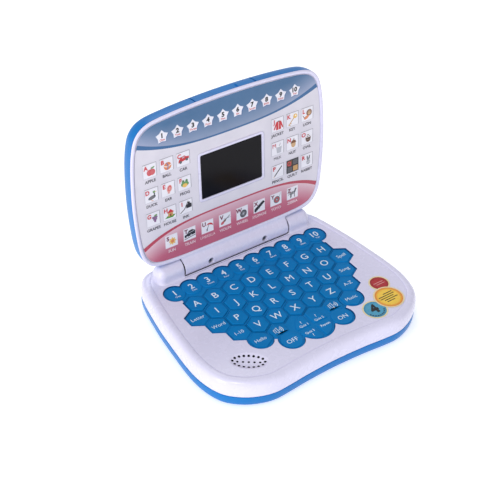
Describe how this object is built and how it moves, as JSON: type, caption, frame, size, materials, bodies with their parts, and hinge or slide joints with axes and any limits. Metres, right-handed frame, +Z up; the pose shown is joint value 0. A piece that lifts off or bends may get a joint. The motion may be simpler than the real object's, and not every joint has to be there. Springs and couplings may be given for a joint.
{
  "type": "toy laptop computer",
  "caption": "Toy laptop computer with a honeycomb letter keypad, a small dark screen in a friction-held hinged lid, a speaker grille and a battery bay underneath.",
  "frame": {"origin": "On the surface the toy stands on, under the middle of the bounding box of the laptop with its lid open as stored.", "axes": "+Z up, +X to the right of the person typing, -Y towards that person; the lid's hinge axis runs along X near the back."},
  "size_m": [0.2106, 0.1762, 0.1792],
  "materials": {
    "white_plastic": "moulded, glossy, faint lavender white",
    "blue_plastic": "moulded, glossy sky blue",
    "key_rubber": "satin blue with printed legends",
    "board_green": "solder-masked circuit board",
    "speaker_paper": "paper cone and basket, simplified",
    "cell_jacket": "printed foil jacket",
    "contact_nickel": "nickel-plated spring steel",
    "screw_steel": "zinc-plated steel",
    "foot_rubber": "soft black rubber",
    "sticker_film": "printed vinyl label",
    "screen_dark": "dark, glossy display window",
    "module_grey": "display module body",
    "card_print": "printed card behind the lid's rim"
  },
  "bodies": {
    "base": {"base_bottom_shell": "blue_plastic", "base_top_shell": "white_plastic", "keypad_web": "key_rubber", "main_board": "board_green", "speaker": "speaker_paper", "battery_1": "cell_jacket", "battery_2": "cell_jacket", "battery_3": "cell_jacket", "battery_contact_left": "contact_nickel", "battery_contact_right": "contact_nickel", "case_screw_1": "screw_steel", "case_screw_2": "screw_steel", "case_screw_3": "screw_steel", "case_screw_4": "screw_steel", "rubber_foot_1": "foot_rubber", "rubber_foot_2": "foot_rubber", "rubber_foot_3": "foot_rubber", "rubber_foot_4": "foot_rubber", "feature_sticker": "sticker_film", "hinge_pin_left": "screw_steel", "hinge_pin_right": "screw_steel"},
    "lid": {"lid_front_shell": "white_plastic", "lid_back_shell": "blue_plastic", "lcd_window": "screen_dark", "lcd_module": "module_grey", "lid_card": "card_print", "barrel_screw_left": "screw_steel", "barrel_screw_right": "screw_steel"},
    "battery_door": {"battery_door": "blue_plastic", "battery_door_screw": "screw_steel"},
    "number_keys": {"number_keys": "key_rubber"},
    "left_function_keys": {"left_function_keys": "key_rubber"},
    "right_function_keys": {"right_function_keys": "key_rubber"},
    "lower_function_keys": {"lower_function_keys": "key_rubber"},
    "key_a": {"key_a": "key_rubber"},
    "key_b": {"key_b": "key_rubber"},
    "key_c": {"key_c": "key_rubber"},
    "key_d": {"key_d": "key_rubber"},
    "key_e": {"key_e": "key_rubber"},
    "key_f": {"key_f": "key_rubber"},
    "key_g": {"key_g": "key_rubber"},
    "key_h": {"key_h": "key_rubber"},
    "key_i": {"key_i": "key_rubber"},
    "key_j": {"key_j": "key_rubber"},
    "key_k": {"key_k": "key_rubber"},
    "key_l": {"key_l": "key_rubber"},
    "key_m": {"key_m": "key_rubber"},
    "key_n": {"key_n": "key_rubber"},
    "key_o": {"key_o": "key_rubber"},
    "key_p": {"key_p": "key_rubber"},
    "key_q": {"key_q": "key_rubber"},
    "key_r": {"key_r": "key_rubber"},
    "key_s": {"key_s": "key_rubber"},
    "key_t": {"key_t": "key_rubber"},
    "key_u": {"key_u": "key_rubber"},
    "key_v": {"key_v": "key_rubber"},
    "key_w": {"key_w": "key_rubber"},
    "key_x": {"key_x": "key_rubber"},
    "key_y": {"key_y": "key_rubber"},
    "key_z": {"key_z": "key_rubber"}
  },
  "joints": [
    {"name": "hinge_lid", "type": "hinge", "parent": "base", "child": "lid", "pos_m": [0, 0.06075, 0.0304], "axis": [1, 0, 0], "range_deg": [-30, 95.4]},
    {"name": "battery_door_slide", "type": "slide", "parent": "base", "child": "battery_door", "axis": [0, 0, -1], "range_m": [0, 0.03]},
    {"name": "key_a", "type": "slide", "parent": "base", "child": "key_a", "axis": [0, 0, -1], "range_m": [0, 0.0008], "stiffness_N_per_m": 500},
    {"name": "key_b", "type": "slide", "parent": "base", "child": "key_b", "axis": [0, 0, -1], "range_m": [0, 0.0008], "stiffness_N_per_m": 500},
    {"name": "key_c", "type": "slide", "parent": "base", "child": "key_c", "axis": [0, 0, -1], "range_m": [0, 0.0008], "stiffness_N_per_m": 500},
    {"name": "key_d", "type": "slide", "parent": "base", "child": "key_d", "axis": [0, 0, -1], "range_m": [0, 0.0008], "stiffness_N_per_m": 500},
    {"name": "key_e", "type": "slide", "parent": "base", "child": "key_e", "axis": [0, 0, -1], "range_m": [0, 0.0008], "stiffness_N_per_m": 500},
    {"name": "key_f", "type": "slide", "parent": "base", "child": "key_f", "axis": [0, 0, -1], "range_m": [0, 0.0008], "stiffness_N_per_m": 500},
    {"name": "key_g", "type": "slide", "parent": "base", "child": "key_g", "axis": [0, 0, -1], "range_m": [0, 0.0008], "stiffness_N_per_m": 500},
    {"name": "key_h", "type": "slide", "parent": "base", "child": "key_h", "axis": [0, 0, -1], "range_m": [0, 0.0008], "stiffness_N_per_m": 500},
    {"name": "key_i", "type": "slide", "parent": "base", "child": "key_i", "axis": [0, 0, -1], "range_m": [0, 0.0008], "stiffness_N_per_m": 500},
    {"name": "key_j", "type": "slide", "parent": "base", "child": "key_j", "axis": [0, 0, -1], "range_m": [0, 0.0008], "stiffness_N_per_m": 500},
    {"name": "key_k", "type": "slide", "parent": "base", "child": "key_k", "axis": [0, 0, -1], "range_m": [0, 0.0008], "stiffness_N_per_m": 500},
    {"name": "key_l", "type": "slide", "parent": "base", "child": "key_l", "axis": [0, 0, -1], "range_m": [0, 0.0008], "stiffness_N_per_m": 500},
    {"name": "key_m", "type": "slide", "parent": "base", "child": "key_m", "axis": [0, 0, -1], "range_m": [0, 0.0008], "stiffness_N_per_m": 500},
    {"name": "key_n", "type": "slide", "parent": "base", "child": "key_n", "axis": [0, 0, -1], "range_m": [0, 0.0008], "stiffness_N_per_m": 500},
    {"name": "key_o", "type": "slide", "parent": "base", "child": "key_o", "axis": [0, 0, -1], "range_m": [0, 0.0008], "stiffness_N_per_m": 500},
    {"name": "key_p", "type": "slide", "parent": "base", "child": "key_p", "axis": [0, 0, -1], "range_m": [0, 0.0008], "stiffness_N_per_m": 500},
    {"name": "key_q", "type": "slide", "parent": "base", "child": "key_q", "axis": [0, 0, -1], "range_m": [0, 0.0008], "stiffness_N_per_m": 500},
    {"name": "key_r", "type": "slide", "parent": "base", "child": "key_r", "axis": [0, 0, -1], "range_m": [0, 0.0008], "stiffness_N_per_m": 500},
    {"name": "key_s", "type": "slide", "parent": "base", "child": "key_s", "axis": [0, 0, -1], "range_m": [0, 0.0008], "stiffness_N_per_m": 500},
    {"name": "key_t", "type": "slide", "parent": "base", "child": "key_t", "axis": [0, 0, -1], "range_m": [0, 0.0008], "stiffness_N_per_m": 500},
    {"name": "key_u", "type": "slide", "parent": "base", "child": "key_u", "axis": [0, 0, -1], "range_m": [0, 0.0008], "stiffness_N_per_m": 500},
    {"name": "key_v", "type": "slide", "parent": "base", "child": "key_v", "axis": [0, 0, -1], "range_m": [0, 0.0008], "stiffness_N_per_m": 500},
    {"name": "key_w", "type": "slide", "parent": "base", "child": "key_w", "axis": [0, 0, -1], "range_m": [0, 0.0008], "stiffness_N_per_m": 500},
    {"name": "key_x", "type": "slide", "parent": "base", "child": "key_x", "axis": [0, 0, -1], "range_m": [0, 0.0008], "stiffness_N_per_m": 500},
    {"name": "key_y", "type": "slide", "parent": "base", "child": "key_y", "axis": [0, 0, -1], "range_m": [0, 0.0008], "stiffness_N_per_m": 500},
    {"name": "key_z", "type": "slide", "parent": "base", "child": "key_z", "axis": [0, 0, -1], "range_m": [0, 0.0008], "stiffness_N_per_m": 500},
    {"name": "keys_number", "type": "slide", "parent": "base", "child": "number_keys", "axis": [0, 0, -1], "range_m": [0, 0.0008], "stiffness_N_per_m": 4000},
    {"name": "keys_left_function", "type": "slide", "parent": "base", "child": "left_function_keys", "axis": [0, 0, -1], "range_m": [0, 0.0008], "stiffness_N_per_m": 3000},
    {"name": "keys_right_function", "type": "slide", "parent": "base", "child": "right_function_keys", "axis": [0, 0, -1], "range_m": [0, 0.0008], "stiffness_N_per_m": 3000},
    {"name": "keys_lower_function", "type": "slide", "parent": "base", "child": "lower_function_keys", "axis": [0, 0, -1], "range_m": [0, 0.0008], "stiffness_N_per_m": 3000}
  ]
}
